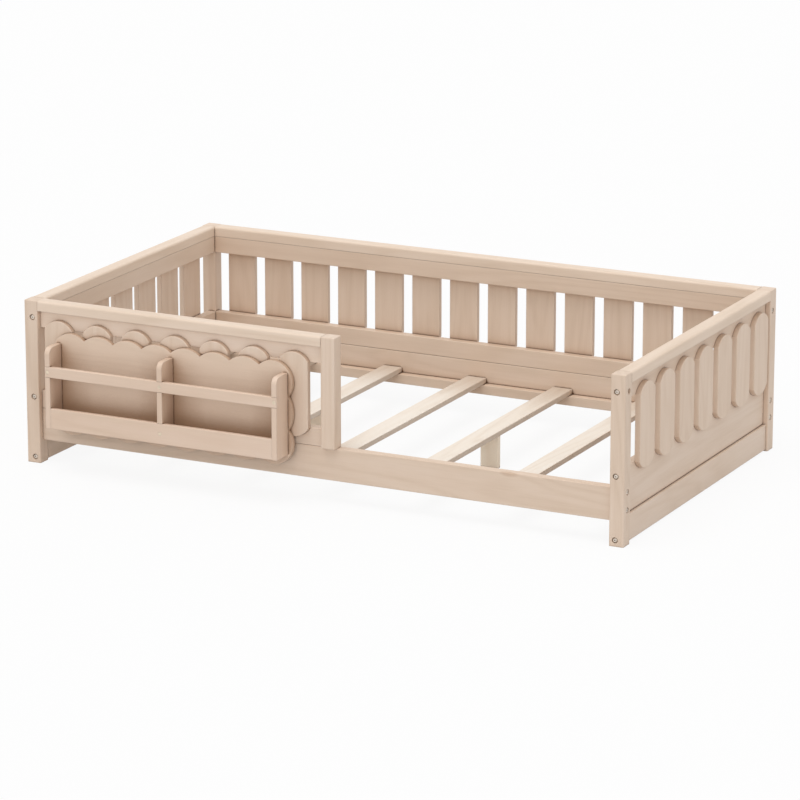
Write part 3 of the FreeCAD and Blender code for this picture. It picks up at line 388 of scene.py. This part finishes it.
def wood(name, axis, tones, figure=1.0, shade=0.0, seam_dirt_and_shade=0.85, shelter=NEAR_SHELTER, row=None):
    """Painted softwood with its grain along an axis; a row gives (start, pitch) of its pickets along X."""
    g = new_graph(name)
    place = g.parts(g.add("ShaderNodeTexCoord", out="Object"))
    marks = g.add("ShaderNodeSeparateColor", g.add("ShaderNodeObjectInfo", out="Color"), out=None).outputs
    seed = seed_of(g, marks[0], place, row)
    # every board is cut from another place in the tree
    board = [g.math("MULTIPLY_ADD", seed, shift, place[index])
             for shift, index in zip(BOARD_SHIFT, GRAIN_ORDER[axis])]
    pull, spot = knots_of(g, board)
    rings = rings_of(g, board, pull)
    fibre = grain_noise(g, board, *FIBRE)
    streak = grain_noise(g, board, *STREAK)
    patch = g.noise(g.combine(*board), PATCH_SCALE)

    tone = g.math("MULTIPLY_ADD", g.math("SUBTRACT", streak, 0.5), STREAK_TONE * figure, BASE_TONE)
    tone = g.math("MULTIPLY_ADD", g.math("SUBTRACT", patch, 0.5), PATCH_TONE, tone)
    tone = g.math("MULTIPLY_ADD", rings, RING_TONE * figure, tone)
    tone = g.math("MULTIPLY_ADD", g.math("SUBTRACT", fibre, 0.5), FIBRE_TONE * figure, tone)
    tone = g.math("ADD", tone, g.math("MULTIPLY_ADD", marks[1], TINT_TONE, -TINT_TONE / 2), clamp=True)
    colour = stained(g, tone, tones)
    knotty = g.math("MULTIPLY", spot, g.math("MULTIPLY", marks[2], KNOT_STRENGTH))
    colour = g.mix(knotty, colour, linear(KNOT))

    true_normal = g.add("ShaderNodeNewGeometry", out="True Normal")
    round_normal = g.add("ShaderNodeBevel", Radius=EDGE_RADIUS, settings={"samples": 6})
    colour = rubbed(g, colour, true_normal, round_normal, fibre)
    if shade:
        colour = sheltered(g, colour, shade, shelter)
    colour = seamed(g, colour, true_normal, axis, seam_dirt_and_shade)

    height = g.math("MULTIPLY_ADD", rings, RING_RISE, g.math("MULTIPLY", fibre, FIBRE_RISE))
    height = g.math("MULTIPLY_ADD", spot, KNOT_RISE, height)
    bump = g.add("ShaderNodeBump", Strength=BUMP_STRENGTH, Distance=BUMP_DEPTH, Height=height,
                 Normal=round_normal)
    rough = g.math("MULTIPLY_ADD", patch, PATCH_ROUGHNESS, ROUGHNESS)
    rough = g.math("MULTIPLY_ADD", fibre, FIBRE_ROUGHNESS, rough)
    shader = g.add("ShaderNodeBsdfPrincipled", Base_Color=colour, Roughness=rough, Normal=bump,
                   Specular_IOR_Level=SPECULAR, Coat_Weight=COAT, Coat_Roughness=COAT_ROUGHNESS)
    return g.finish(shader)


# ---------------------------------------------------------------- metal


def metal(name, colour, roughness):
    """Plated steel with fine scuffs, dull clouds and tarnish in its recesses."""
    g = new_graph(name)
    place = g.add("ShaderNodeTexCoord", out="Object")
    scuff = g.noise(place, SCUFF_SCALE, 4.0, 0.6)
    cloud = g.noise(place, CLOUD_SCALE)
    bright = linear(colour)
    tint = g.mix(g.spread(cloud, *CLOUD_LEVELS), bright, dimmed(bright, DULL))
    recess = g.spread(g.openness(RECESS_REACH), *RECESS_OPEN)
    tint = g.mix(recess, tint, dimmed(bright, TARNISHED))
    rough = g.math("MULTIPLY_ADD", scuff, SCUFF_ROUGHNESS, roughness)
    bump = g.add("ShaderNodeBump", Strength=SCUFF_STRENGTH, Distance=SCUFF_DEPTH, Height=scuff)
    shader = g.add("ShaderNodeBsdfPrincipled", Base_Color=tint, Metallic=METALLIC, Roughness=rough,
                   Normal=bump)
    return g.finish(shader)


# ---------------------------------------------------------------- materials on the CAD nodes

shared_woods = {}


def grain_axis(node):
    """The axis that a piece's grain runs along."""
    if node.startswith(GRAIN_ALONG_Y):
        return "Y"
    return "Z" if node.startswith(GRAIN_UPRIGHT) else "X"


def row_of(node, count):
    """(start, pitch) of a row of pickets, read from its box."""
    low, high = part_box(node)
    pitch = (high.x - low.x - PICKET_WIDTH) / (count - 1)
    return low.x - (pitch - PICKET_WIDTH) / 2, pitch


def shared_wood(kind, axis):
    """One material for all the pieces of a wood and grain direction."""
    if (kind, axis) not in shared_woods:
        shared_woods[kind, axis] = wood(f"{kind}_wood_{axis.lower()}", axis, **WOODS[kind])
    return shared_woods[kind, axis]


def material_for(node):
    """The material of a CAD node."""
    if node in METALS:
        return metal(*METALS[node])
    if node in ROWS:
        kind, count = ROWS[node]
        return wood(f"{kind}_wood", "Z", **WOODS[kind], row=row_of(node, count))
    kind = next((kind for starts, kind in WOOD_OF if node.startswith(starts)), "frame")
    return shared_wood(kind, grain_axis(node))


def dress():
    """Gives every CAD node its material, and its own seed, tint and strength of knots."""
    chance = random.Random(11)
    for name in sorted(nodes):
        node = nodes[name]
        material = material_for(name)
        node.data.materials.clear()
        node.data.materials.append(material)
        node.color = (chance.random(), chance.random(), chance.choice((0.15, 0.5, 1.0)), 1.0)


# ---------------------------------------------------------------- the studio


def seen_directly(g):
    """1 for camera, mirror and glass rays, 0 for the rays that light the object."""
    path = g.add("ShaderNodeLightPath", out=None).outputs
    return g.math("MAXIMUM", path["Is Camera Ray"],
                  g.math("MAXIMUM", path["Is Glossy Ray"], path["Is Transmission Ray"]))


def floor_material():
    """A floor that looks white, keeps the object's shadow and throws back soft light."""
    g = new_graph("studio_floor")
    mottle = g.noise(g.add("ShaderNodeTexCoord", out="Object"), MOTTLE_SCALE)
    shade = g.mix(g.spread(mottle, *MOTTLE_LEVELS), grey(FLOOR_SHADE), grey(FLOOR_SHADE * FLOOR_MOTTLE))
    shown = g.add("ShaderNodeAddShader", g.add("ShaderNodeEmission", WHITE, FLOOR_GLOW),
                  g.add("ShaderNodeBsdfDiffuse", shade))
    lit = g.add("ShaderNodeBsdfDiffuse", grey(FLOOR_ALBEDO))
    return g.finish(g.add("ShaderNodeMixShader", seen_directly(g), lit, shown))


def studio_floor():
    """A wide, flat floor under the bed."""
    mesh = bpy.data.meshes.new("studio_floor")
    corners = [(x * FLOOR_HALF, y * FLOOR_HALF, 0) for x, y in ((-1, -1), (1, -1), (1, 1), (-1, 1))]
    mesh.from_pydata(corners, [], [(0, 1, 2, 3)])
    floor = bpy.data.objects.new("studio_floor", mesh)
    bpy.context.scene.collection.objects.link(floor)
    mesh.materials.append(floor_material())


def studio_sky():
    """A dim white sky that lights the object, seen as plain white."""
    world = bpy.data.worlds.new("studio_sky")
    bpy.context.scene.world = world
    g = Graph(world)
    dim = g.add("ShaderNodeBackground", WHITE, SKY)
    bright = g.add("ShaderNodeBackground", WHITE, 1.0)
    g.finish(g.add("ShaderNodeMixShader", seen_directly(g), dim, bright), "ShaderNodeOutputWorld")


def sun(name, source, strength, softness):
    """A sun lamp that shines from a direction."""
    lamp = bpy.data.lights.new(name, "SUN")
    lamp.energy = strength
    lamp.angle = math.radians(softness)
    light = bpy.data.objects.new(name, lamp)
    light.rotation_euler = Vector(source).to_track_quat("Z", "Y").to_euler()
    bpy.context.scene.collection.objects.link(light)


def camera():
    """The camera, where the photograph's was."""
    data = bpy.data.cameras.new("camera")
    data.sensor_width = CAMERA_SENSOR
    data.lens = CAMERA_LENS
    data.clip_end = CAMERA_REACH
    viewer = bpy.data.objects.new("camera", data)
    viewer.location = CAMERA_PLACE
    viewer.rotation_euler = Euler((math.radians(90 - CAMERA_DOWN), 0.0, math.radians(CAMERA_ASIDE)))
    bpy.context.scene.collection.objects.link(viewer)
    bpy.context.scene.camera = viewer


dress()
studio_floor()
studio_sky()
for setting in SUNS:
    sun(*setting)
camera()
bpy.context.scene.view_settings.view_transform = "Standard"
